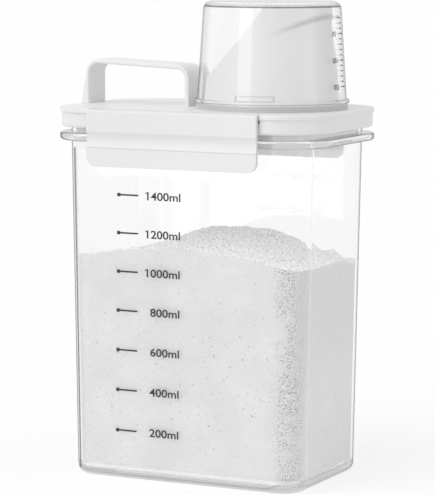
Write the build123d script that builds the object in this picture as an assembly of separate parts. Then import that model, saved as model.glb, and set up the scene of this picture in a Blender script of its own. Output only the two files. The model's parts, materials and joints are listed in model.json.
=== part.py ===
"""Washing powder dispenser: clear container, locking lid with handle and spout, measuring cup.

Millimetres, +Z up, origin at the middle of the container's foot, front towards -Y.
"""
import os
from math import radians, sqrt, tan

from build123d import *

# Container
base_width = 128.0
base_depth = 82.0
base_corner = 13.0
draft = 1.0
container_wall = 2.0
floor_thickness = 4.4
container_height = 180.2
base_fillet = 5.2
floor_fillet = 3.6
foot_recess = 1.0
foot_rim = 3.4
foot_corner = 6.0
rim_above_flange = 3.6
flange_thickness = 4.0
flange_overhang = 6.5
flange_end_overhang = 7.6
flange_round = 1.6

# Lid shell
lid_gap = 2.75
lid_height = 9.9
lid_corner = 27.0
lip_height = 2.2
lip_overhang = 0.8
lip_round = 0.7
skirt_wall = 1.8
skirt_round = 1.4
plate_thickness = 2.2

# Seal between lid and container
seal_height = 2.6
seal_gap = 0.2
plug_clearance = 0.5
plug_wall = 1.8
plug_reach = 6.4
guard_clearance = 0.5
guard_wall = 1.3

# Carrying handle, in the X-Z plane
handle_depth = 18.4
handle_rise = 23.4
handle_fall = 2.3
handle_bar = 2.5
handle_lean = 4.3
handle_root = 4.8
handle_end_inset = 0.1
handle_post = 2.5
handle_post_gap = 3.4
handle_outer_round = 8.0
handle_inner_round = 5.2
handle_edge_round = 0.8

# Latches
latch_width = 94.0
latch_height = 28.5
latch_thickness = 2.2
latch_stand = 2.6
latch_corner = 5.0
latch_edge_round = 1.2
barrel_radius = 2.0
pin_radius = 1.0
pin_clearance = 0.05
pin_length = 2.0
hinge_inset = 3.35
notch_end_gap = 0.5
notch_back_gap = 1.2
notch_floor_gap = 0.4
hook_gap = 0.6
hook_reach = 2.4
hook_height = 2.8
hook_width = 80.0
groove_top = 11.0
groove_height = 7.8
groove_depth = 0.7
tab_recess = 0.4

# Spout and its collar
spout_x = 30.7
collar_edge = 0.4
collar_height = 3.0
spout_base_radius = 34.6
spout_top_radius = 29.1
spout_wall = 1.8
spout_headroom = 2.0
scoop_low_x = -30.0
scoop_low_height = 12.6
scoop_mid_x = -4.0
scoop_mid_height = 35.0
scoop_high_x = 8.5
scoop_high_height = 51.7
pour_lip = 2.0
pour_lip_inset = 0.9
pour_lip_height = 31.9
pour_lip_tilt = 26.0

# Measuring cup, upside down on the collar
cup_mouth_gap = 3.3
cup_base_gap = 5.5
cup_flange_width = 1.2
cup_flange_height = 2.2
cup_flange_round = 0.7
cup_height = 51.2
cup_wall = 1.8
cup_base = 1.2
cup_corner = 4.5
gate_radius = 3.3
gate_depth = 0.5
pad_clearance = 0.4
pad_angle = -79.5
pad_sweep = 30.0
pad_lift = 2.4
pad_height = 2.5

# Washing powder
powder_crown = 127.8
powder_round = 145.0
powder_crown_x = 8.0
powder_crown_y = 5.0
powder_clearance = 0.3

# Sizes that several pieces share
flange_top = container_height - rim_above_flange
skirt_bottom = flange_top + lid_gap
lid_top = skirt_bottom + lid_height
seal_land = container_height + seal_height
collar_top = lid_top + collar_height
cup_top = collar_top + cup_height
spout_top = cup_top - cup_base - spout_headroom
slope = tan(radians(draft))
cup_mouth_radius = spout_base_radius + cup_mouth_gap
cup_base_radius = spout_top_radius + cup_base_gap
cup_flange_radius = cup_mouth_radius + cup_flange_width
collar_radius = cup_mouth_radius + collar_edge


def wall_outline(height, inset=0.0):
    """Width, depth and corner radius of the container's outside at a height, moved in by inset."""
    grow = height * slope - inset
    return base_width + 2 * grow, base_depth + 2 * grow, base_corner + grow


def rim_outline(inset=0.0):
    """Width, depth and corner radius that the flange and the lid's lip share, moved in by inset."""
    width, depth, _ = wall_outline(flange_top, inset)
    return width + 2 * flange_end_overhang, depth + 2 * flange_overhang, lid_corner - inset


def slab(outline, bottom, top, angle=0.0):
    """Upright block on a rounded rectangle, its walls leaning out by angle."""
    width, depth, corner = outline
    return extrude(Pos(0, 0, bottom) * RectangleRounded(width, depth, corner), top - bottom, taper=-angle)


def ring(outer, inner, bottom, top):
    """Upright band between two rounded rectangles."""
    return slab(outer, bottom, top) - slab(inner, bottom, top)


def level_edges(part, height):
    """Edges that lie flat at a height."""
    margin = 0.01
    return part.edges().filter_by_position(Axis.Z, height - margin, height + margin)


def make_container():
    """Drafted clear body with a thick floor, a recessed foot and a round flange below its rim."""
    shell = slab(wall_outline(0), 0, container_height, draft)
    shell = fillet(level_edges(shell, 0), base_fillet)
    cavity_outline = wall_outline(floor_thickness, container_wall)
    cavity = slab(cavity_outline, floor_thickness, container_height + 1, draft)
    cavity = fillet(level_edges(cavity, floor_thickness), floor_fillet)
    flange = slab(rim_outline(), flange_top - flange_thickness, flange_top)
    flange = fillet(level_edges(flange, flange_top), flange_round)
    flange = fillet(level_edges(flange, flange_top - flange_thickness), flange_round)
    foot_inset = base_fillet + foot_rim
    foot = slab((base_width - 2 * foot_inset, base_depth - 2 * foot_inset, foot_corner), 0, foot_recess)
    return shell + flange - cavity - foot


lid_depth_half = rim_outline()[1] / 2
hinge_y = lid_depth_half - hinge_inset
hinge_z = lid_top - barrel_radius
notch_back = hinge_y - barrel_radius - notch_back_gap
notch_floor = hinge_z - barrel_radius - notch_floor_gap
notch_half = latch_width / 2 + notch_end_gap


def make_lid_shell():
    """Flat lid with a lip, a skirt, a plug into the mouth and a channel for the seal, open below."""
    skirt_outline = rim_outline(lip_overhang)
    lip_bottom = lid_top - lip_height
    skirt = slab(skirt_outline, skirt_bottom, lip_bottom)
    skirt = fillet(level_edges(skirt, skirt_bottom), skirt_round)
    lip = slab(rim_outline(), lip_bottom, lid_top)
    lip = fillet(level_edges(lip, lid_top), lip_round)
    plug_outer = wall_outline(container_height, container_wall + plug_clearance)
    plug_inner = wall_outline(container_height, container_wall + plug_clearance + plug_wall)
    guard_inner = wall_outline(container_height, -guard_clearance)
    guard_outer = wall_outline(container_height, -guard_clearance - guard_wall)
    skirt_inner = rim_outline(lip_overhang + skirt_wall)
    plug_bottom = container_height - plug_reach
    shell = skirt + lip + slab(plug_outer, plug_bottom, seal_land)
    shell -= ring(skirt_inner, guard_outer, skirt_bottom, seal_land)
    shell -= ring(guard_inner, plug_outer, skirt_bottom, seal_land)
    shell -= slab(plug_inner, plug_bottom, lid_top - plate_thickness)
    return shell


def make_notch():
    """Room for the rear latch's barrel in the lid's edge, with a hole at each end for its pins."""
    over = lid_top + 1
    outside = lid_depth_half + 1
    bend = hinge_z - notch_floor
    knee = (notch_back + bend * (1 - sqrt(0.5)), hinge_z - bend * sqrt(0.5))
    outline = Polyline((notch_back, hinge_z), (notch_back, over), (outside, over), (outside, notch_floor),
                       (notch_back + bend, notch_floor))
    outline += ThreePointArc((notch_back + bend, notch_floor), knee, (notch_back, hinge_z))
    notch = extrude(Plane.YZ * make_face(outline), notch_half, both=True)
    hole = Cylinder(pin_radius + pin_clearance, 2 * (latch_width / 2 + pin_length + notch_end_gap))
    return notch + Pos(0, hinge_y, hinge_z) * Rot(0, 90, 0) * hole


def make_handle():
    """Loop over the lid's left half: a leaning end leg, a bar that falls gently and an upright post."""
    left = handle_end_inset - rim_outline()[0] / 2
    right = spout_x - cup_flange_radius - handle_post_gap
    top_left = lid_top + handle_rise
    top_right = top_left - handle_fall
    foot = lid_top - plate_thickness / 2
    inside_left = left + handle_root
    inside_right = right - handle_post
    corners = [(left + handle_lean, top_left), (right, top_right)]
    outside = make_face(Polyline((left, foot), *corners, (right, foot), close=True))
    outside = fillet([v for v in outside.vertices() if v.Y > lid_top], handle_outer_round)
    corners = [(inside_left, top_left - handle_bar), (inside_right, top_right - handle_bar)]
    inside = make_face(Polyline((inside_left, lid_top), *corners, (inside_right, lid_top), close=True))
    inside = fillet([v for v in inside.vertices() if v.Y > lid_top + 1], handle_inner_round)
    middle = (inside_left + inside_right) / 2
    below = Pos(middle, lid_top) * Rectangle(inside_right - inside_left, plate_thickness)
    loop = extrude(Plane.XZ * (outside - inside - below), handle_depth / 2, both=True)
    faces = loop.faces().filter_by(Axis.Y)
    edges = [e for f in faces for e in f.edges() if e.center().Z > lid_top + 1]
    return fillet(edges, handle_edge_round)


def scoop_curve():
    """Side view of the spout's cut mouth, low towards the handle and high at the pouring lip."""
    return ThreePointArc(
        (spout_x + scoop_low_x, lid_top + scoop_low_height),
        (spout_x + scoop_mid_x, lid_top + scoop_mid_height),
        (spout_x + scoop_high_x, lid_top + scoop_high_height),
    )


def make_spout():
    """Tapered tube on a low collar, its mouth cut by the scoop, with a pouring lip that swells to the right."""
    height = spout_top - lid_top
    middle = Pos(spout_x, 0, lid_top + height / 2)
    tube = middle * Cone(spout_base_radius, spout_top_radius, height)
    band = Pos(pour_lip, 0, 0) * middle * Cone(
        spout_base_radius - pour_lip_inset, spout_top_radius - pour_lip_inset, height)
    reach = 2 * spout_base_radius
    above = Pos(spout_x, 0, lid_top + pour_lip_height) * Rot(0, -pour_lip_tilt, 0) * Pos(0, 0, reach) * Box(
        2 * reach, 2 * reach, 2 * reach)
    curve = scoop_curve()
    start = curve @ 0
    end = curve @ 1
    mouth = curve + Polyline((end.X, end.Y), (spout_x - reach, end.Y), (spout_x - reach, start.Y),
                             (start.X, start.Y))
    cut = extrude(Plane.XZ * make_face(mouth), reach, both=True)
    collar = Pos(spout_x, 0, lid_top + collar_height / 2) * Cylinder(collar_radius, collar_height)
    return tube + (band & above) - cut + collar


def make_spout_bore():
    """Way out of the container through the lid's plate, the collar and the spout."""
    height = spout_top - lid_top
    bore = Pos(spout_x, 0, lid_top + height / 2) * Cone(
        spout_base_radius - spout_wall, spout_top_radius - spout_wall, height)
    through = Pos(spout_x, 0, lid_top - plate_thickness / 2) * Cylinder(
        spout_base_radius - spout_wall, plate_thickness)
    return bore + through


def make_lid():
    """The whole lid, moulded in one piece."""
    notch = make_notch()
    shell = make_lid_shell() - notch - mirror(notch, about=Plane.XZ)
    return shell + make_handle() + make_spout() - make_spout_bore()


def make_lid_seal():
    """Silicone ring on the container's rim, under the lid's land."""
    inner = wall_outline(container_height, container_wall + plug_clearance - seal_gap)
    outer = wall_outline(container_height, seal_gap - guard_clearance)
    return ring(outer, inner, container_height, seal_land)


def make_rear_latch():
    """Flap with a barrel and two pins at its top, a hook inside and a finger tab below a shallow groove."""
    face = lid_depth_half + latch_stand
    back = face - latch_thickness
    bottom = lid_top - latch_height
    web = lid_top - latch_thickness
    groove = lid_top - groove_top
    tab = groove - groove_height
    outline = Polyline((hinge_y, web), (hinge_y, lid_top), (face, lid_top), (face, groove))
    outline += ThreePointArc((face, groove), (face - groove_depth, (groove + tab) / 2), (face, tab))
    outline += Polyline((face, tab), (face - tab_recess, tab), (face, bottom), (back, bottom), (back, web),
                        (hinge_y, web))
    flap = extrude(Plane.YZ * make_face(outline), latch_width / 2, both=True)
    flap = fillet(flap.edges().filter_by(Axis.X).group_by(Axis.Z)[-1].sort_by(Axis.Y)[-1], latch_edge_round)
    low_corners = flap.edges().filter_by(Axis.Y).group_by(Axis.Z)[0]
    flap = fillet(low_corners, latch_corner)
    barrel = Cylinder(barrel_radius, latch_width)
    pins = Cylinder(pin_radius, latch_width + 2 * pin_length)
    hinge = Pos(0, hinge_y, hinge_z) * Rot(0, 90, 0) * (barrel + pins)
    hook_top = flange_top - flange_thickness - hook_gap
    hook_tip = lid_depth_half - hook_reach
    hook_low = hook_top - hook_height
    hook_shape = Polyline((back, hook_top), (hook_tip, hook_top), (hook_tip, hook_top - hook_height / 3),
                          (back, hook_low), close=True)
    hook = extrude(Plane.YZ * make_face(hook_shape), hook_width / 2, both=True)
    return flap + hinge + hook


def make_measuring_cup():
    """Clear tapered cup on its mouth, with a flange, a gate mark and two pads that grip the spout."""
    taper = (cup_mouth_radius - cup_base_radius) / cup_height
    outside = Pos(0, 0, cup_height / 2) * Cone(cup_mouth_radius, cup_base_radius, cup_height)
    outside = fillet(level_edges(outside, cup_height), cup_corner)
    depth = cup_height - cup_base
    base_inside = cup_base_radius + taper * cup_base - cup_wall
    inside = Pos(0, 0, depth / 2) * Cone(cup_mouth_radius - cup_wall, base_inside, depth)
    inside = fillet(level_edges(inside, depth), cup_corner - cup_wall)
    flange = Pos(0, 0, cup_flange_height / 2) * Cylinder(cup_flange_radius, cup_flange_height)
    flange = fillet(flange.edges().filter_by(GeomType.CIRCLE), cup_flange_round)
    spout_taper = (spout_base_radius - spout_top_radius) / (spout_top - lid_top)
    pad_inner = spout_base_radius - spout_taper * (collar_height + pad_lift) + pad_clearance
    pad_outer = cup_mouth_radius - cup_wall / 2
    pad_middle = Pos((pad_inner + pad_outer) / 2, pad_lift + pad_height / 2)
    pad = revolve(Plane.XZ * pad_middle * Rectangle(pad_outer - pad_inner, pad_height), Axis.Z, pad_sweep)
    gate = Pos(0, 0, cup_height) * Cylinder(gate_radius, 2 * gate_depth)
    cup = outside + flange - inside - gate
    for half_turn in (0, 180):
        cup += Rot(0, 0, pad_angle - pad_sweep / 2 + half_turn) * pad
    return Pos(spout_x, 0, collar_top) * cup


def make_washing_powder():
    """Heaped powder that fills the container's lower part, rounded off on top."""
    inset = container_wall + powder_clearance
    block = slab(wall_outline(floor_thickness, inset), floor_thickness, powder_crown + 1, draft)
    block = fillet(level_edges(block, floor_thickness), floor_fillet)
    heap = Pos(powder_crown_x, powder_crown_y, powder_crown - powder_round) * Sphere(powder_round)
    return block & heap


def main():
    """Writes one file per piece."""
    os.makedirs("parts", exist_ok=True)
    rear_latch = make_rear_latch()
    pieces = {
        "container": make_container(),
        "lid": make_lid(),
        "lid_seal": make_lid_seal(),
        "front_latch": mirror(rear_latch, about=Plane.XZ),
        "rear_latch": rear_latch,
        "measuring_cup": make_measuring_cup(),
        "washing_powder": make_washing_powder(),
    }
    for name, piece in pieces.items():
        export_step(piece, f"parts/{name}.step")


main()
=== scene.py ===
"""Studio view of a washing powder dispenser: clear container, white locking lid, measuring cup."""

import json
import random
from math import copysign, cos, pi, radians, sin, sqrt, tan

import bpy
from mathutils import Matrix, Vector, noise


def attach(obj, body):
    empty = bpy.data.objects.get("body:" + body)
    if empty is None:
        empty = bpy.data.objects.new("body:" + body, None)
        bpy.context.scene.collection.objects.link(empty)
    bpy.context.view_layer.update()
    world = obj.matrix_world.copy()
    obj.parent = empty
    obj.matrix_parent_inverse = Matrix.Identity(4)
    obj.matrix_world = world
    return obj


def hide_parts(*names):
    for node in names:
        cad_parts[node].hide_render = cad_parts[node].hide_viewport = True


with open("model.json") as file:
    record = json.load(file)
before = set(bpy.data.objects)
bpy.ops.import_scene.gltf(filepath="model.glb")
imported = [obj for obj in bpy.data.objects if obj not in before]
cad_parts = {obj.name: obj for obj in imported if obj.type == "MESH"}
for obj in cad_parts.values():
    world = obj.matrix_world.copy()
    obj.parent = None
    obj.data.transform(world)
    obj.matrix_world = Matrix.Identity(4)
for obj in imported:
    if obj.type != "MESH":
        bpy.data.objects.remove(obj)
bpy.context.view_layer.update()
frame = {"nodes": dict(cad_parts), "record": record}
nodes = frame["nodes"]

MM = 0.001

# Container, as in the part (mm)
BASE_WIDTH = 128.0
BASE_DEPTH = 82.0
BASE_CORNER = 13.0
SLOPE = tan(radians(1.0))
WALL = 2.0
FLOOR_FILLET = 3.6

# Underside of the powder, a little inside the clear floor, so that no film of air shows (mm)
POWDER_FLOOR = 4.2

# Cup, upside down on the lid's collar (mm)
CUP_X = 30.7
CUP_MOUTH_Z = 192.25
CUP_HEIGHT = 51.2
CUP_TOP_Z = CUP_MOUTH_Z + CUP_HEIGHT
CUP_MOUTH_RADIUS = 37.9
CUP_BASE_RADIUS = 34.6
GATE_RADIUS = 3.3
PAD_LIFT = 2.4
PAD_HEIGHT = 2.5
PAD_Z = CUP_MOUTH_Z + PAD_LIFT + PAD_HEIGHT / 2
PAD_ANGLES = (radians(-78.5), radians(101.5))
PAD_HALF_SWEEP = radians(15.0)

# Collar under the cup, and the pouring lip inside the spout (mm)
COLLAR_RADIUS = CUP_MOUTH_RADIUS + 0.4
COLLAR_BOTTOM_Z = CUP_MOUTH_Z - 3.0
LIP_Z = COLLAR_BOTTOM_Z + 31.9
LIP_TILT = radians(26.0)


# Nodes that the materials share

def new_material(name):
    """An empty node material and its output node."""
    material = bpy.data.materials.new(name)
    material.use_nodes = True
    tree = material.node_tree
    tree.nodes.clear()
    return material, tree, tree.nodes.new("ShaderNodeOutputMaterial")


def object_coords(tree):
    """Coordinates that move with the piece, in metres."""
    return tree.nodes.new("ShaderNodeTexCoord").outputs["Object"]


def add_noise(tree, coords, scale, detail=2.0, roughness=0.5):
    """Noise texture, as its factor socket."""
    node = tree.nodes.new("ShaderNodeTexNoise")
    node.inputs["Scale"].default_value = scale
    node.inputs["Detail"].default_value = detail
    node.inputs["Roughness"].default_value = roughness
    tree.links.new(coords, node.inputs["Vector"])
    return node.outputs["Fac"]


def add_ramp(tree, factor, stops):
    """Ramp with (position, grey) stops, as its colour socket."""
    node = tree.nodes.new("ShaderNodeValToRGB")
    elements = node.color_ramp.elements
    while len(elements) < len(stops):
        elements.new(0.5)
    for element, (position, grey) in zip(elements, stops):
        element.position = position
        element.color = (grey, grey, grey, 1.0)
    tree.links.new(factor, node.inputs["Fac"])
    return node.outputs["Color"]


# Limits between which most of a noise lies
NOISE_LOW, NOISE_HIGH = 0.3, 0.7


def cloudy_grey(tree, cloud, dark, light):
    """Grey that wanders between two shades with a noise."""
    return add_ramp(tree, cloud, ((NOISE_LOW, dark), (NOISE_HIGH, light)))


def add_range(tree, value, low, high, to_low=0.0, to_high=1.0):
    """Smooth step of a value between two limits."""
    node = tree.nodes.new("ShaderNodeMapRange")
    node.interpolation_type = "SMOOTHSTEP"
    for name, number in (("From Min", low), ("From Max", high), ("To Min", to_low), ("To Max", to_high)):
        node.inputs[name].default_value = number
    tree.links.new(value, node.inputs["Value"])
    return node.outputs["Result"]


def add_math(tree, operation, first, second=0.0):
    """Math node on two sockets or numbers."""
    node = tree.nodes.new("ShaderNodeMath")
    node.operation = operation
    for socket, value in zip(node.inputs, (first, second)):
        if isinstance(value, (int, float)):
            socket.default_value = value
        else:
            tree.links.new(value, socket)
    return node.outputs["Value"]


def add_product(tree, first, *others):
    """Product of several sockets or numbers."""
    for other in others:
        first = add_math(tree, "MULTIPLY", first, other)
    return first


def add_highest(tree, first, *others):
    """Highest of several sockets."""
    for other in others:
        first = add_math(tree, "MAXIMUM", first, other)
    return first


def add_distance(tree, value, centre):
    """How far a value is from a centre, up or down."""
    return add_math(tree, "ABSOLUTE", add_math(tree, "SUBTRACT", value, centre))


def soft_line(tree, value, centre, full, reach, strength):
    """Line where a value is near a centre, even up to full and gone at reach."""
    return add_range(tree, add_distance(tree, value, centre), full, reach, strength, 0.0)


def add_mix(tree, factor, first, second):
    """Colour mix of two colour sockets."""
    node = tree.nodes.new("ShaderNodeMix")
    node.data_type = "RGBA"
    tree.links.new(factor, node.inputs[0])
    tree.links.new(first, node.inputs[6])
    tree.links.new(second, node.inputs[7])
    return node.outputs[2]


def add_shader_mix(tree, factor, first, second):
    """Mix of two shaders."""
    node = tree.nodes.new("ShaderNodeMixShader")
    for socket, value in zip(node.inputs, (factor, first, second)):
        tree.links.new(value, socket)
    return node.outputs["Shader"]


def add_bump(tree, height, strength, distance):
    """Bump from a height socket."""
    node = tree.nodes.new("ShaderNodeBump")
    node.inputs["Strength"].default_value = strength
    node.inputs["Distance"].default_value = distance
    tree.links.new(height, node.inputs["Height"])
    return node.outputs["Normal"]


def add_split(tree, vector):
    """X, Y and Z of a vector socket."""
    node = tree.nodes.new("ShaderNodeSeparateXYZ")
    tree.links.new(vector, node.inputs["Vector"])
    return node.outputs["X"], node.outputs["Y"], node.outputs["Z"]


def place_in_mm(tree, coords):
    """X, Y and Z of the place on the piece, in mm."""
    node = tree.nodes.new("ShaderNodeVectorMath")
    node.operation = "SCALE"
    node.inputs["Scale"].default_value = 1 / MM
    tree.links.new(coords, node.inputs[0])
    return add_split(tree, node.outputs["Vector"])


def surface_normal(tree):
    """X, Y and Z of the direction in which the surface faces."""
    return add_split(tree, tree.nodes.new("ShaderNodeNewGeometry").outputs["Normal"])


def add_facing(tree):
    """How far the surface is turned edge on, from 0 to 1."""
    node = tree.nodes.new("ShaderNodeLayerWeight")
    node.inputs["Blend"].default_value = 0.5
    return node.outputs["Facing"]


def add_seen(tree):
    """1 where a ray sees the backdrop straight, mirrored or through clear plastic, else 0."""
    path = tree.nodes.new("ShaderNodeLightPath").outputs
    return add_highest(tree, path["Is Camera Ray"], path["Is Glossy Ray"], path["Is Transmission Ray"])


# White plastic

def cup_radius(tree, place):
    """Distance from the axis of the cup and the spout."""
    x, y, _ = place
    across = add_math(tree, "SUBTRACT", x, CUP_X)
    squares = add_math(tree, "ADD", add_math(tree, "POWER", across, 2.0), add_math(tree, "POWER", y, 2.0))
    return add_math(tree, "POWER", squares, 0.5)


def collar_mask(tree, place):
    """Painted shade on the upright side of the spout's collar, where little light reaches under the cup's
    flange.
    """
    radius = cup_radius(tree, place)
    outer = add_range(tree, radius, COLLAR_RADIUS - 0.7, COLLAR_RADIUS - 0.2)
    near = add_range(tree, radius, COLLAR_RADIUS + 0.2, COLLAR_RADIUS + 0.6, 1.0, 0.0)
    above = add_range(tree, place[2], COLLAR_BOTTOM_Z - 0.1, COLLAR_BOTTOM_Z + 0.3)
    return add_product(tree, outer, near, above)


# Painted shade under the pouring lip, and where it starts and is full, from the spout's axis (mm)
LIP_SHADE = 0.7
LIP_SHADE_START, LIP_SHADE_FULL = 8.0, 29.0

# Shares of the plastic's dark and light grey that are left in the places of painted shade
SHADED_DARK, SHADED_LIGHT = 0.62, 0.66


def lip_mask(tree, place):
    """Soft painted shade under the spout's slanted pouring lip, deepest at its high end."""
    x, _, z = place
    across = add_math(tree, "SUBTRACT", x, CUP_X)
    rise = add_math(tree, "SUBTRACT", z, LIP_Z)
    upright = add_product(tree, rise, cos(LIP_TILT))
    away = add_math(tree, "SUBTRACT", upright, add_product(tree, across, sin(LIP_TILT)))
    line = soft_line(tree, away, 0.0, 0.4, 2.0, LIP_SHADE)
    return add_product(tree, line, add_range(tree, across, LIP_SHADE_START, LIP_SHADE_FULL))


def white_plastic(name, dark, light, rough, spout=False):
    """Satin moulded polypropylene with a very fine grain; a spout gets painted shade on its collar's side
    and under its pouring lip.
    """
    material, tree, out = new_material(name)
    coords = object_coords(tree)
    shader = tree.nodes.new("ShaderNodeBsdfPrincipled")
    shader.inputs["IOR"].default_value = 1.49
    cloud = add_noise(tree, coords, 28.0, 3.0)
    grain = add_noise(tree, coords, 2600.0, 1.0)
    colour = cloudy_grey(tree, cloud, dark, light)
    if spout:
        shade = cloudy_grey(tree, cloud, SHADED_DARK * dark, SHADED_LIGHT * light)
        place = place_in_mm(tree, coords)
        mask = add_highest(tree, collar_mask(tree, place), lip_mask(tree, place))
        colour = add_mix(tree, mask, colour, shade)
    roughness = add_range(tree, cloud, 0.25, 0.75, rough - 0.05, rough + 0.05)
    tree.links.new(colour, shader.inputs["Base Color"])
    tree.links.new(roughness, shader.inputs["Roughness"])
    tree.links.new(add_bump(tree, grain, 0.08, 0.05 * MM), shader.inputs["Normal"])
    tree.links.new(shader.outputs["BSDF"], out.inputs["Surface"])
    return material


# Clear plastic

# Painted dark lines of the container, in place of light that its corners and foot bend away: top of those
# on the corners, heights and higher end of the foot's (mm)
CORNER_LINE_TOP = 168.0
FOOT_LINE_Z, FOOT_LINE_END_Z = 2.5, 5.9
FOOT_END_START, FOOT_END_FULL = 47.0, 57.0

# Painted dark lines round the cup, in place of light bent away at its thick base and its flange: height,
# half width, reach (mm) and strength
CUP_RINGS = (
    (CUP_TOP_Z - 2.55, 0.2, 0.65, 0.78),
    (CUP_TOP_Z - 1.85, 0.2, 1.0, 0.24),
    (CUP_MOUTH_Z + 0.75, 0.1, 0.5, 0.42),
)


def corner_line(tree, place):
    """Painted dark line on the container's left corners, where they are seen aslant and bend the light
    away.
    """
    normal_x, _, normal_z = surface_normal(tree)
    start = add_range(tree, normal_x, -0.68, -0.62)
    end = add_range(tree, normal_x, -0.58, -0.5, 0.8, 0.0)
    aslant = add_range(tree, add_facing(tree), 0.3, 0.46)
    below_flange = add_range(tree, place[2], CORNER_LINE_TOP, CORNER_LINE_TOP + 2.0, 1.0, 0.0)
    upright = add_range(tree, add_math(tree, "ABSOLUTE", normal_z), 0.2, 0.5, 1.0, 0.0)
    return add_product(tree, start, end, aslant, below_flange, upright)


def foot_line(tree, place):
    """Soft painted dark line in the rounding of the foot, in place of light that it bends away, higher up
    at the spout's end.
    """
    x, _, z = place
    centre = add_range(tree, x, FOOT_END_START, FOOT_END_FULL, FOOT_LINE_Z, FOOT_LINE_END_Z)
    return soft_line(tree, z, centre, 0.2, 1.1, 0.23)


def container_lines(tree, place):
    """Painted dark lines of the container's foot and left corners."""
    return add_highest(tree, foot_line(tree, place), corner_line(tree, place))


def pad_lines(tree, place):
    """Painted dark edges of the cup's two grip pads, in place of light that the clear pads bend away."""
    x, y, z = place
    angle = add_math(tree, "ARCTAN2", y, add_math(tree, "SUBTRACT", x, CUP_X))
    turns = [add_distance(tree, angle, middle) for middle in PAD_ANGLES]
    turn = add_math(tree, "MINIMUM", *turns)
    rise = add_distance(tree, z, PAD_Z)
    ends = soft_line(tree, turn, PAD_HALF_SWEEP, radians(0.3), radians(1.1), 0.28)
    beside = add_range(tree, rise, 1.2, 1.7, 1.0, 0.0)
    sides = soft_line(tree, rise, PAD_HEIGHT / 2, 0.1, 0.5, 0.2)
    along_pad = add_range(tree, turn, PAD_HALF_SWEEP, PAD_HALF_SWEEP + radians(1.0), 1.0, 0.0)
    return add_highest(tree, add_product(tree, ends, beside), add_product(tree, sides, along_pad))


def gate_disc(tree, place):
    """Painted grey disc of the gate mark, in the middle of the cup's base, in place of light that its
    small recess bends away.
    """
    disc = add_range(tree, cup_radius(tree, place), GATE_RADIUS - 0.5, GATE_RADIUS + 0.2, 0.42, 0.0)
    return add_product(tree, disc, add_range(tree, place[2], CUP_TOP_Z - 1.45, CUP_TOP_Z - 0.85))


def cup_lines(tree, place):
    """Painted dark lines of the cup's thick base, flange, gate mark and grip pads."""
    rings = [soft_line(tree, place[2], *ring) for ring in CUP_RINGS]
    return add_highest(tree, pad_lines(tree, place), gate_disc(tree, place), *rings)


def clear_plastic(name, edge, density, edge_shade_strength, lines):
    """Clear styrene plastic: light passes; a wall seen edge on is tinted greyer and gets a painted dark
    edge, and the lines are painted dark, in place of light that the plastic bends away.
    """
    material, tree, out = new_material(name)
    coords = object_coords(tree)
    place = place_in_mm(tree, coords)
    facing = add_facing(tree)
    path = tree.nodes.new("ShaderNodeLightPath").outputs

    shader = tree.nodes.new("ShaderNodeBsdfPrincipled")
    shader.inputs["IOR"].default_value = 1.5
    shader.inputs["Transmission Weight"].default_value = 1.0
    # Greyer tint where a wall is seen edge on is painted shade for the light it bends away; the base has a
    # thicker grey tint
    tint = add_ramp(tree, facing, ((0.0, 0.985), (0.6, 0.97), (0.98, edge)))
    thick = add_ramp(tree, facing, ((0.0, 0.83), (0.6, 0.8), (0.98, edge)))
    base = add_range(tree, place[2], POWDER_FLOOR, POWDER_FLOOR + 2.0, 1.0, 0.0)
    tree.links.new(add_mix(tree, base, tint, thick), shader.inputs["Base Color"])
    haze = add_noise(tree, coords, 60.0, 2.0)
    roughness = add_range(tree, haze, NOISE_LOW, NOISE_HIGH, 0.012, 0.035)
    tree.links.new(roughness, shader.inputs["Roughness"])
    ripple = add_noise(tree, coords, 22.0, 1.0)
    tree.links.new(add_bump(tree, ripple, 0.12, 0.4 * MM), shader.inputs["Normal"])

    # Painted shade: a dark edge where a wall is seen edge on, and the dark lines, for camera rays only
    painted_edge_shade = tree.nodes.new("ShaderNodeBsdfDiffuse")
    painted_edge_shade.inputs["Color"].default_value = (0.12, 0.12, 0.125, 1.0)
    outline = add_range(tree, facing, 0.64, 0.86, 0.0, edge_shade_strength)
    off_foot = add_range(tree, place[2], 1.0, 4.0, 0.2, 1.0)
    off_top = add_range(tree, surface_normal(tree)[2], 0.6, 0.9, 1.0, 0.35)
    outline = add_highest(tree, add_product(tree, outline, off_foot, off_top), lines(tree, place))
    outline = add_product(tree, outline, path["Is Camera Ray"])
    surface = add_shader_mix(tree, outline, shader.outputs["BSDF"], painted_edge_shade.outputs["BSDF"])

    # Painted glow in place of light bent many times inside the walls
    trapped_light_glow = tree.nodes.new("ShaderNodeEmission")
    trapped_light_glow.inputs["Strength"].default_value = 0.72
    deep = add_math(tree, "GREATER_THAN", path["Ray Depth"], 6.5)
    surface = add_shader_mix(tree, deep, surface, trapped_light_glow.outputs["Emission"])

    # Light that reaches the powder and the floor
    passing = tree.nodes.new("ShaderNodeBsdfTransparent")
    passing.inputs["Color"].default_value = (0.985, 0.985, 0.985, 1.0)
    light = add_highest(tree, path["Is Shadow Ray"], path["Is Diffuse Ray"])
    surface = add_shader_mix(tree, light, surface, passing.outputs["BSDF"])
    tree.links.new(surface, out.inputs["Surface"])

    absorb = tree.nodes.new("ShaderNodeVolumeAbsorption")
    absorb.inputs["Color"].default_value = (0.55, 0.57, 0.58, 1.0)
    absorb.inputs["Density"].default_value = density
    tree.links.new(absorb.outputs["Volume"], out.inputs["Volume"])
    return material


# Other materials

def silicone_rubber(name):
    """Milky matt silicone."""
    material, tree, out = new_material(name)
    shader = tree.nodes.new("ShaderNodeBsdfPrincipled")
    cloud = add_noise(tree, object_coords(tree), 120.0, 3.0)
    tree.links.new(cloudy_grey(tree, cloud, 0.74, 0.8), shader.inputs["Base Color"])
    roughness = add_range(tree, cloud, NOISE_LOW, NOISE_HIGH, 0.5, 0.65)
    tree.links.new(roughness, shader.inputs["Roughness"])
    tree.links.new(shader.outputs["BSDF"], out.inputs["Surface"])
    return material


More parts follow.
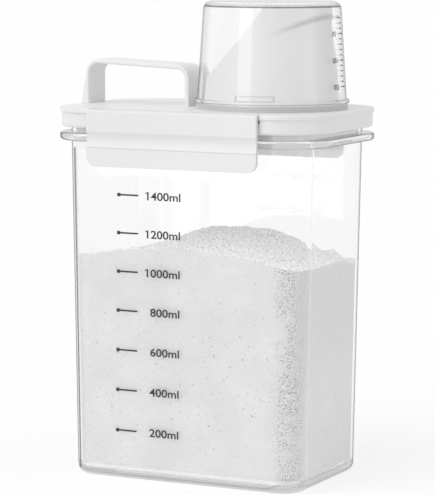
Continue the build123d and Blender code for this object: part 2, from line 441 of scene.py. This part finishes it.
# Where the powder's corners and the painted shade of its spout end start, and where they are full (mm)
CORNER_X = (47.0, 58.0)
CORNER_Y = (26.0, 36.0)
END_SHADE_Z = (40.0, 85.0)


def loose_corners(tree, place):
    """The powder's front right corner and its two rear corners, where the granules lie open."""
    x, y, _ = place
    near_end = add_range(tree, x, *CORNER_X)
    near_side = add_range(tree, y, -CORNER_Y[1], -CORNER_Y[0], 1.0, 0.0)
    rear_end = add_range(tree, add_math(tree, "ABSOLUTE", x), *CORNER_X)
    rear_side = add_range(tree, y, *CORNER_Y)
    near = add_product(tree, near_end, near_side)
    return add_highest(tree, near, add_product(tree, rear_end, rear_side))


def powder_grain(name):
    """Fine white granules, more open in the corners and on top of the heap; painted light lightens the
    top, shades the left end and the spout end, and makes the top and underside glow a little.
    """
    material, tree, out = new_material(name)
    coords = object_coords(tree)
    place = place_in_mm(tree, coords)
    normal_x, _, normal_z = surface_normal(tree)
    shader = tree.nodes.new("ShaderNodeBsdfPrincipled")
    shader.inputs["Roughness"].default_value = 1.0
    shader.inputs["Specular IOR Level"].default_value = 0.1
    shader.inputs["Emission Color"].default_value = (0.9, 0.9, 0.91, 1.0)

    cloud = add_noise(tree, coords, 45.0, 4.0, 0.6)
    patch = add_range(tree, add_noise(tree, coords, 55.0, 2.0, 0.6), 0.36, 0.5)
    grain = add_noise(tree, coords, 1050.0, 2.0, 0.6)
    fine = add_noise(tree, coords, 1500.0, 2.0, 0.6)
    pits = add_noise(tree, coords, 620.0, 2.0, 0.6)
    body = cloudy_grey(tree, cloud, 0.81, 0.89)
    packed = add_ramp(tree, pits, ((0.26, 0.42), (0.34, 0.83), (0.6, 0.87)))
    loose = add_ramp(tree, fine, ((0.34, 0.16), (0.45, 0.74), (0.62, 0.9)))
    # Painted light: the heap's top is grainy and lighter, in place of the light that the lid keeps off
    heap = add_ramp(tree, grain, ((0.34, 0.5), (0.46, 0.94), (0.58, 1.0)))
    # Painted shade on the left end and on the upper part of the spout end
    left_shade = add_ramp(tree, fine, ((0.34, 0.46), (0.46, 0.61), (0.6, 0.67)))
    end_shade = add_ramp(tree, fine, ((0.34, 0.66), (0.46, 0.77), (0.62, 0.81)))

    corner = add_product(tree, loose_corners(tree, place), patch)
    left_face = add_range(tree, normal_x, -0.9, -0.25, 1.0, 0.0)
    end_face = add_range(tree, normal_x, 0.6, 0.95)
    end_face = add_product(tree, end_face, add_range(tree, place[2], *END_SHADE_Z))
    top = add_range(tree, normal_z, 0.2, 0.6)
    shades = add_mix(tree, add_range(tree, pits, 0.22, 0.5), packed, body)
    for mask, shade in ((corner, loose), (left_face, left_shade), (end_face, end_shade), (top, heap)):
        shades = add_mix(tree, mask, shades, shade)
    tree.links.new(shades, shader.inputs["Base Color"])
    tree.links.new(add_bump(tree, grain, 0.6, 0.6 * MM), shader.inputs["Normal"])

    # Painted glow in place of light: a little on the heap's top, more on the underside seen through the
    # clear base
    under = add_range(tree, normal_z, -0.7, -0.15, 0.3, 0.0)
    glow = add_math(tree, "ADD", under, add_product(tree, top, 0.07))
    tree.links.new(glow, shader.inputs["Emission Strength"])
    tree.links.new(shader.outputs["BSDF"], out.inputs["Surface"])
    return material


def print_ink(name):
    """Dark grey screen print, a little uneven."""
    material, tree, out = new_material(name)
    shader = tree.nodes.new("ShaderNodeBsdfPrincipled")
    cloud = add_noise(tree, object_coords(tree), 900.0, 2.0)
    tree.links.new(cloudy_grey(tree, cloud, 0.018, 0.035), shader.inputs["Base Color"])
    roughness = add_range(tree, cloud, NOISE_LOW, NOISE_HIGH, 0.4, 0.55)
    tree.links.new(roughness, shader.inputs["Roughness"])
    tree.links.new(shader.outputs["BSDF"], out.inputs["Surface"])
    return material


materials = {
    "clear_container": clear_plastic("clear_container", edge=0.45, density=4.0, edge_shade_strength=0.68,
                                     lines=container_lines),
    "clear_cup": clear_plastic("clear_cup", edge=0.4, density=5.0, edge_shade_strength=0.42, lines=cup_lines),
    "white_lid": white_plastic("white_lid", dark=0.83, light=0.86, rough=0.42, spout=True),
    "white_latch": white_plastic("white_latch", dark=0.79, light=0.82, rough=0.4),
    "silicone": silicone_rubber("silicone"),
    "powder": powder_grain("powder"),
    "ink": print_ink("ink"),
}

for subpart in frame["record"]["subparts"]:
    mesh = nodes[subpart["node"]].data
    mesh.materials.clear()
    mesh.materials.append(materials[subpart["material_slot"]])


# Pieces

def add_piece(name, points, faces, material, slot, body):
    """Mesh piece from points in mm, riding on a body."""
    mesh = bpy.data.meshes.new(name)
    mesh.from_pydata([Vector(p) * MM for p in points], [], faces)
    mesh.validate()
    mesh.materials.append(materials[material])
    piece = bpy.data.objects.new(name, mesh)
    bpy.context.collection.objects.link(piece)
    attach(piece, body)
    return piece


def inside_outline(height, inset):
    """Half width, half depth and corner radius of the container's inside at a height, less an inset."""
    grow = height * SLOPE - WALL - inset
    return BASE_WIDTH / 2 + grow, BASE_DEPTH / 2 + grow, BASE_CORNER + grow


OUTLINE_CORNERS = ((1, 1), (-1, 1), (-1, -1), (1, -1))
CORNER_STEPS = 18
SIDE_STEPS = (104, 60, 104, 60)
OUTLINE_COUNT = 4 * CORNER_STEPS + sum(SIDE_STEPS)


def outline_point(outline, index):
    """Point of a rounded rectangle, counted round from the end of its right side."""
    half_width, half_depth, corner = outline
    for turn, (sx, sy) in enumerate(OUTLINE_CORNERS):
        centre = (sx * (half_width - corner), sy * (half_depth - corner))
        if index < CORNER_STEPS:
            angle = pi / 2 * (turn + index / CORNER_STEPS)
            return centre[0] + corner * cos(angle), centre[1] + corner * sin(angle)
        index -= CORNER_STEPS
        run = SIDE_STEPS[turn]
        if index < run:
            share = index / run
            nx, ny = OUTLINE_CORNERS[(turn + 1) % 4]
            target = (nx * (half_width - corner), ny * (half_depth - corner))
            angle = pi / 2 * (turn + 1)
            return (centre[0] + (target[0] - centre[0]) * share + corner * cos(angle),
                    centre[1] + (target[1] - centre[1]) * share + corner * sin(angle))
        index -= run
    raise IndexError(index)


def ease(value, low, high):
    """Smooth step between two limits."""
    t = min(1.0, max(0.0, (value - low) / (high - low)))
    return t * t * (3 - 2 * t)


# Lines of the heap as (x, z) at the front wall, along its crest and at the rear wall (mm)
FRONT_LINE = ((-65, 113.5), (-24, 119), (-2, 120.5), (14, 119), (41, 117), (65, 111))
CREST_LINE = ((-65, 108), (-41, 112.5), (-27, 118), (-16, 123.5), (-8, 126.5),
              (18, 127.5), (28, 127), (40, 123.5), (50, 118.5), (64, 111.5))
BACK_LINE = ((-65, 105.5), (-31, 108.5), (0, 115.5), (24, 116), (44, 111), (64, 106))
CREST_Y = 5.0
WALL_Y = 42
ROUNDING_STEPS = (-6, -3, 0, 3, 6)

# Clumps by the rear right corner: x, y, reach and rise (mm), and the share of the reach that is level
CLUMPS = ((53.0, 27.0, 7.0, 2.8), (57.5, 16.0, 5.0, 3.8), (61.0, 30.0, 6.0, 2.8))
CLUMP_CORE = 0.25

# Lumps of the top, and how they grow towards the rear right corner (mm)
LUMP_RISE = 0.8
RAGGED_LEAST, RAGGED_GROWTH = 0.7, 1.1
RAGGED_X = (36, 56)
RAGGED_Y = (-20, 15)


def straight(line, x):
    """Height of a line through points, level beyond its ends."""
    x = min(line[-1][0], max(line[0][0], x))
    for (x0, z0), (x1, z1) in zip(line, line[1:]):
        if x <= x1:
            break
    return z0 + (z1 - z0) * (x - x0) / (x1 - x0)


def rounded(line, x):
    """Height of a line through points, its kinks rounded off."""
    return sum(straight(line, x + step) for step in ROUNDING_STEPS) / len(ROUNDING_STEPS)


def lumps(x, y, layer, size):
    """Uneven height from lumps of a size; each layer has a pattern of its own."""
    return noise.noise(Vector((x, y, layer)) / size) * LUMP_RISE


def heap_height(x, y):
    """Height of the powder's top, highest towards the spout, ragged by clumps."""
    crest = rounded(CREST_LINE, x)
    if y < CREST_Y:
        share = ease(y, -WALL_Y, CREST_Y)
        height = rounded(FRONT_LINE, x) * (1 - share) + crest * share
    else:
        share = ease(y, CREST_Y, WALL_Y)
        height = crest * (1 - share) + rounded(BACK_LINE, x) * share
    for clump_x, clump_y, reach, rise in CLUMPS:
        distance = sqrt((x - clump_x) ** 2 + (y - clump_y) ** 2)
        height += rise * (1 - ease(distance, CLUMP_CORE * reach, reach))
    ragged = RAGGED_LEAST + RAGGED_GROWTH * ease(x, *RAGGED_X) * ease(y, *RAGGED_Y)
    coarse = lumps(x, y, 3.0, 6.0) + lumps(x, y, 9.0, 2.4)
    return height + coarse * ragged + lumps(x, y, 21.0, 1.3)


# Mesh of the powder: where the heap meets the walls, gap to them, unevenness of its sides (mm)
HEAP_EDGE_Z = 115.0
POWDER_INSET = 0.3
GRAIN_SLACK = 0.14
GRAIN_SIZE = 1.9
POWDER_ROWS, POWDER_RINGS = 96, 46


def ring_faces(start):
    """Faces between the ring of points at an index and the next ring."""
    after = start + OUTLINE_COUNT
    faces = []
    for i in range(OUTLINE_COUNT):
        j = (i + 1) % OUTLINE_COUNT
        faces.append((start + i, start + j, after + j, after + i))
    return faces


def make_powder():
    """Closed mesh: floor, sides against the walls and a heaped, grainy top."""
    points, faces = [], []
    edge = []
    for i in range(OUTLINE_COUNT):
        x, y = outline_point(inside_outline(HEAP_EDGE_Z, POWDER_INSET), i)
        edge.append(heap_height(x, y))
    for row in range(POWDER_ROWS + 1):
        share = row / POWDER_ROWS
        for i in range(OUTLINE_COUNT):
            rise = share * (edge[i] - POWDER_FLOOR)
            z = POWDER_FLOOR + rise
            inset = POWDER_INSET
            if rise < FLOOR_FILLET:
                inset += FLOOR_FILLET - sqrt(FLOOR_FILLET ** 2 - (FLOOR_FILLET - rise) ** 2)
            x, y = outline_point(inside_outline(z, inset), i)
            slack = GRAIN_SLACK * (1 + noise.noise(Vector((x, y, z)) / GRAIN_SIZE))
            points.append((*outline_point(inside_outline(z, inset + slack), i), z))
    last = POWDER_ROWS * OUTLINE_COUNT
    for ring in range(1, POWDER_RINGS):
        share = 1 - ring / POWDER_RINGS
        for i in range(OUTLINE_COUNT):
            x, y, _ = points[last + i]
            x, y = x * share, y * share
            points.append((x, y, heap_height(x, y)))
    for ring in range(POWDER_ROWS + POWDER_RINGS - 1):
        faces += ring_faces(ring * OUTLINE_COUNT)
    top = len(points)
    points.append((0.0, 0.0, heap_height(0.0, 0.0)))
    final = top - OUTLINE_COUNT
    for i in range(OUTLINE_COUNT):
        faces.append((final + i, final + (i + 1) % OUTLINE_COUNT, top))
    faces.append(tuple(reversed(range(OUTLINE_COUNT))))
    return points, faces


powder = add_piece("powder_heap", *make_powder(), "powder", "powder", "bottle")
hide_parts("washing_powder")

# Loose grains on the walls: lengths in mm, thinning per mm above the heap, corners of an eight-sided grain
SPECK_COUNT = 650
SPECK_SEED = 7
SPECK_INSET = 0.32
SPECK_START = 0.4
SPECK_THINNING = 0.42
SPECK_SIZES = (0.1, 0.24)
SPECK_JITTER = (0.7, 1.1)
SPECK_CORNERS = ((1, 0, 0), (-1, 0, 0), (0, 1, 0), (0, -1, 0), (0, 0, 1), (0, 0, -1))
SPECK_FACES = ((0, 2, 4), (2, 1, 4), (1, 3, 4), (3, 0, 4), (2, 0, 5), (1, 2, 5), (3, 1, 5), (0, 3, 5))


def make_specks():
    """Loose grains that cling to the inside of the walls above the powder."""
    rng = random.Random(SPECK_SEED)
    points, faces = [], []
    for _ in range(SPECK_COUNT):
        i = rng.randrange(OUTLINE_COUNT)
        x, y = outline_point(inside_outline(HEAP_EDGE_Z, POWDER_INSET), i)
        z = heap_height(x, y) + SPECK_START + rng.expovariate(SPECK_THINNING)
        x, y = outline_point(inside_outline(z, SPECK_INSET), i)
        size = rng.uniform(*SPECK_SIZES)
        start = len(points)
        for corner in SPECK_CORNERS:
            jitter = Vector([rng.uniform(*SPECK_JITTER) for _ in range(3)])
            points.append(Vector((x, y, z)) + Vector(corner) * jitter * size)
        faces += [tuple(start + k for k in face) for face in SPECK_FACES]
    return points, faces


add_piece("powder_specks", *make_specks(), "powder", "powder", "bottle")


# Printed scales

STROKE_WIDENING = 0.018
INK_LIFT = 0.03

# Flag of a leading 1, as shares of the digit's height
FLAG = ((0.06, 1.0), (0.0, 1.0), (-0.24, 0.84), (-0.24, 0.72), (0.0, 0.86))


def text_shape(text):
    """Flat outline of a text as points and faces, in units of its size."""
    curve = bpy.data.curves.new("lettering", "FONT")
    curve.body = text
    curve.offset = STROKE_WIDENING
    holder = bpy.data.objects.new("lettering", curve)
    bpy.context.collection.objects.link(holder)
    bpy.context.view_layer.update()
    mesh = bpy.data.meshes.new_from_object(holder.evaluated_get(bpy.context.evaluated_depsgraph_get()))
    points = [(v.co.x, v.co.y) for v in mesh.vertices]
    faces = [tuple(p.vertices) for p in mesh.polygons]
    bpy.data.objects.remove(holder)
    bpy.data.curves.remove(curve)
    bpy.data.meshes.remove(mesh)
    return points, faces


def fitted_text(text, height, width_share=1.0):
    """Text with digits of a height, its letters widened, from the origin, with a flag on a leading 1."""
    points, faces = text_shape(text)
    low = min(p[1] for p in points)
    tall = max(p[1] for p in points) - low
    left = min(p[0] for p in points)
    scale = height / tall
    points = [((x - left) * scale * width_share, (y - low) * scale) for x, y in points]
    if text.startswith("1"):
        start = len(points)
        points += [(x * height, y * height) for x, y in FLAG]
        faces = faces + [tuple(range(start, start + len(FLAG)))]
    return points, faces


def dot(x, y, half, steps=24):
    """Flat square dot with round corners."""
    points = []
    for k in range(steps):
        c, s = cos(2 * pi * k / steps), sin(2 * pi * k / steps)
        points.append((x + half * copysign(sqrt(abs(c)), c), y + half * copysign(sqrt(abs(s)), s)))
    return points, [tuple(range(steps))]


def bar(x0, x1, y, thickness, pieces=1):
    """Flat bar along X."""
    points = []
    for k in range(pieces + 1):
        x = x0 + (x1 - x0) * k / pieces
        points += [(x, y - thickness / 2), (x, y + thickness / 2)]
    return points, [(2 * k, 2 * k + 2, 2 * k + 3, 2 * k + 1) for k in range(pieces)]


def gather(shapes):
    """Several flat shapes as one."""
    points, faces = [], []
    for shape_points, shape_faces in shapes:
        start = len(points)
        points += shape_points
        faces += [tuple(start + k for k in face) for face in shape_faces]
    return points, faces


def moved(shape, dx, dy):
    """Flat shape moved."""
    points, faces = shape
    return [(x + dx, y + dy) for x, y in points], faces


def upside_down(shape, across, middle):
    """Flat shape turned by half a turn, its middle at a point."""
    points, faces = shape
    width = max(p[0] for p in points)
    tall = max(p[1] for p in points)
    return [(across + width / 2 - x, middle + tall / 2 - y) for x, y in points], faces


# Scale of the container: lengths in mm, volumes in ml
MARK_VOLUME, MARK_COUNT = 200, 7
FIRST_MARK, MARK_STEP, MARK_SHRINK = 25.6, 20.9, 0.32
MARK_LEFT, MARK_LENGTH, MARK_THICKNESS = -34.27, 10.75, 0.85
MARK_LEAN = 0.0170
DOT_SHIFT, DOT_HALF = -0.3, 0.95
TEXT_RIGHT, TEXT_DROP = 0.2, 2.2
TEXT_HEIGHT, TEXT_WIDENING = 4.2, 1.19


def on_front(x, z):
    """Point of the container's front face, with the ink's thickness."""
    return x, -(BASE_DEPTH / 2 + z * SLOPE + INK_LIFT), z


def mark_height(steps):
    """Height of a mark, counted from the first; the steps shrink as the container widens."""
    return FIRST_MARK + MARK_STEP * steps - MARK_SHRINK * steps * (steps - 1) / 2


def make_container_scale():
    """Dot, line and number for each 200 ml, leaning a little to the right."""
    shapes = []
    for steps in range(MARK_COUNT):
        volume = MARK_VOLUME * (steps + 1)
        height = mark_height(steps)
        lean = (height - mark_height(MARK_COUNT // 2)) * MARK_LEAN
        left = MARK_LEFT + lean
        shapes.append(dot(left + DOT_SHIFT, height, DOT_HALF))
        shapes.append(bar(left, left + MARK_LENGTH, height, MARK_THICKNESS))
        label = fitted_text(f"{volume}ml", TEXT_HEIGHT, TEXT_WIDENING)
        width = max(p[0] for p in label[0])
        shapes.append(moved(label, TEXT_RIGHT + lean - width, height - TEXT_DROP))
    points, faces = gather(shapes)
    return [on_front(x, z) for x, z in points], faces


container_scale = add_piece("container_scale", *make_container_scale(), "ink", "clear_container", "bottle")
container_scale.visible_shadow = False

# Scale of the cup: places in mm round the cup from its +X side and in height, volumes in ml
CUP_ZERO_Z, CUP_ML_HEIGHT = 240.6, 0.264
CUP_VOLUMES = range(20, 160, 10)
NUMBERED_VOLUME = 50
TICK_START, TICK_THICKNESS, TICK_PIECES = 2.8, 0.6, 4
LONG_TICK, SHORT_TICK = 5.0, 3.0
CUP_NUMBER_PLACE, CUP_NUMBER_HEIGHT = -3.3, 2.6
CUP_UNIT_PLACE, CUP_UNIT_HEIGHT = (1.8, 235.5), 2.0


def on_cup(along, z):
    """Point of the cup's outside, with along measured round the cup from its +X side."""
    taper = (CUP_MOUTH_RADIUS - CUP_BASE_RADIUS) / CUP_HEIGHT
    radius = CUP_MOUTH_RADIUS - taper * (z - CUP_MOUTH_Z) + INK_LIFT
    angle = along / CUP_BASE_RADIUS
    return CUP_X + radius * cos(angle), radius * sin(angle), z


def make_cup_scale():
    """Ticks each 10 ml and numbers each 50 ml, upside down with the cup."""
    shapes = []
    for volume in CUP_VOLUMES:
        height = CUP_ZERO_Z - CUP_ML_HEIGHT * volume
        numbered = volume % NUMBERED_VOLUME == 0
        length = LONG_TICK if numbered else SHORT_TICK
        shapes.append(bar(TICK_START, TICK_START + length, height, TICK_THICKNESS, TICK_PIECES))
        if numbered:
            number = fitted_text(str(volume), CUP_NUMBER_HEIGHT)
            shapes.append(upside_down(number, CUP_NUMBER_PLACE, height))
    shapes.append(upside_down(fitted_text("ml", CUP_UNIT_HEIGHT), *CUP_UNIT_PLACE))
    points, faces = gather(shapes)
    return [on_cup(along, z) for along, z in points], faces


add_piece("cup_scale", *make_cup_scale(), "ink", "clear_cup", "measuring_cup")


# Stage and light, in metres

FLOOR_HALF = 40.0
FLOOR_DROP = 0.0002
FLOOR_GLOW, FLOOR_GLOW_SHARE = 1.1, 0.6
WORLD_LIGHT = 0.74
STRIP_STEPS = 6
STRIP_GROWTH = 0.08
STRIP_DISTANCE, STRIP_MIDDLE_Z, STRIP_TALL = 1.3, 0.35, 1.2

# Strip lights: azimuth in degrees, width of the narrowest and radiance of each step
STRIPS = {"strip_left": (-18.0, 0.14, 0.95), "strip_right": (88.0, 0.1, 0.38)}


def make_floor():
    """Plain pale floor that looks white where no shadow lies."""
    material, tree, out = new_material("floor")
    shader = tree.nodes.new("ShaderNodeBsdfDiffuse")
    cloud = add_noise(tree, object_coords(tree), 3.0, 2.0)
    tree.links.new(cloudy_grey(tree, cloud, 0.875, 0.885), shader.inputs["Color"])
    glow = tree.nodes.new("ShaderNodeEmission")
    glow.inputs["Strength"].default_value = FLOOR_GLOW
    share = add_product(tree, add_seen(tree), FLOOR_GLOW_SHARE)
    surface = add_shader_mix(tree, share, shader.outputs["BSDF"], glow.outputs["Emission"])
    tree.links.new(surface, out.inputs["Surface"])
    corners = [(sx * FLOOR_HALF, sy * FLOOR_HALF, -FLOOR_DROP) for sx, sy in OUTLINE_CORNERS]
    mesh = bpy.data.meshes.new("floor")
    mesh.from_pydata(corners, [], [(0, 1, 2, 3)])
    mesh.materials.append(material)
    floor = bpy.data.objects.new("floor", mesh)
    bpy.context.collection.objects.link(floor)
    return floor


make_floor()


def make_world():
    """Even soft light, white where it is seen or mirrored."""
    world = bpy.data.worlds.new("studio")
    bpy.context.scene.world = world
    world.use_nodes = True
    tree = world.node_tree
    background = tree.nodes["Background"]
    level = add_range(tree, add_seen(tree), 0.0, 1.0, WORLD_LIGHT, 1.0)
    background.inputs["Color"].default_value = (1.0, 1.0, 1.0, 1.0)
    tree.links.new(level, background.inputs["Strength"])


make_world()


def add_lamp(data, towards_light):
    """Lamp that shines from a direction."""
    lamp = bpy.data.objects.new(data.name, data)
    bpy.context.collection.objects.link(lamp)
    lamp.rotation_euler = Vector(towards_light).to_track_quat("Z", "Y").to_euler()
    return lamp


def add_sun(name, towards_light, strength, spread):
    """Large soft lamp far away."""
    data = bpy.data.lights.new(name, "SUN")
    data.energy = strength
    data.angle = radians(spread)
    add_lamp(data, towards_light)


def add_strip(name, azimuth, width, radiance):
    """Upright strip light that only shows as a highlight."""
    data = bpy.data.lights.new(name, "AREA")
    data.shape = "RECTANGLE"
    data.size = width
    data.size_y = STRIP_TALL
    data.energy = radiance * pi * width * STRIP_TALL
    angle = radians(azimuth)
    lamp = add_lamp(data, (sin(angle), -cos(angle), 0.0))
    lamp.location = (STRIP_DISTANCE * sin(angle), -STRIP_DISTANCE * cos(angle), STRIP_MIDDLE_Z)
    lamp.visible_diffuse = False
    lamp.visible_camera = False


add_sun("key", (-0.45, -0.8, 0.95), strength=0.9, spread=50.0)
for step in range(STRIP_STEPS):
    for name, (azimuth, width, radiance) in STRIPS.items():
        add_strip(f"{name}_{step}", azimuth, width + STRIP_GROWTH * step, radiance)


# Camera at the photograph's viewing angle, in metres and in pixels of the photograph

AZIMUTH = radians(26.182)
PITCH = radians(6.772)
ROLL = radians(0.197)
DISTANCE = 1.347956
TARGET = Vector((0.000409, 0.0, 0.116702))
FOCAL_PIXELS = 2625.067
PHOTO_HEIGHT = 495.0
SENSOR_WIDTH = 36.0

camera_data = bpy.data.cameras.new("camera")
camera_data.sensor_width = SENSOR_WIDTH
camera_data.lens = SENSOR_WIDTH * FOCAL_PIXELS / PHOTO_HEIGHT
camera = bpy.data.objects.new("camera", camera_data)
bpy.context.collection.objects.link(camera)
back = Vector((sin(AZIMUTH) * cos(PITCH), -cos(AZIMUTH) * cos(PITCH), sin(PITCH)))
level_right = Vector((cos(AZIMUTH), sin(AZIMUTH), 0.0))
level_up = back.cross(level_right)
right = level_right * cos(ROLL) + level_up * sin(ROLL)
up = level_up * cos(ROLL) - level_right * sin(ROLL)
camera.matrix_world = Matrix((right, up, back)).transposed().to_4x4()
camera.location = TARGET + back * DISTANCE

scene = bpy.context.scene
scene.camera = camera
scene.view_settings.view_transform = "Standard"
scene.cycles.max_bounces = 32
scene.cycles.transmission_bounces = 32
scene.cycles.glossy_bounces = 16
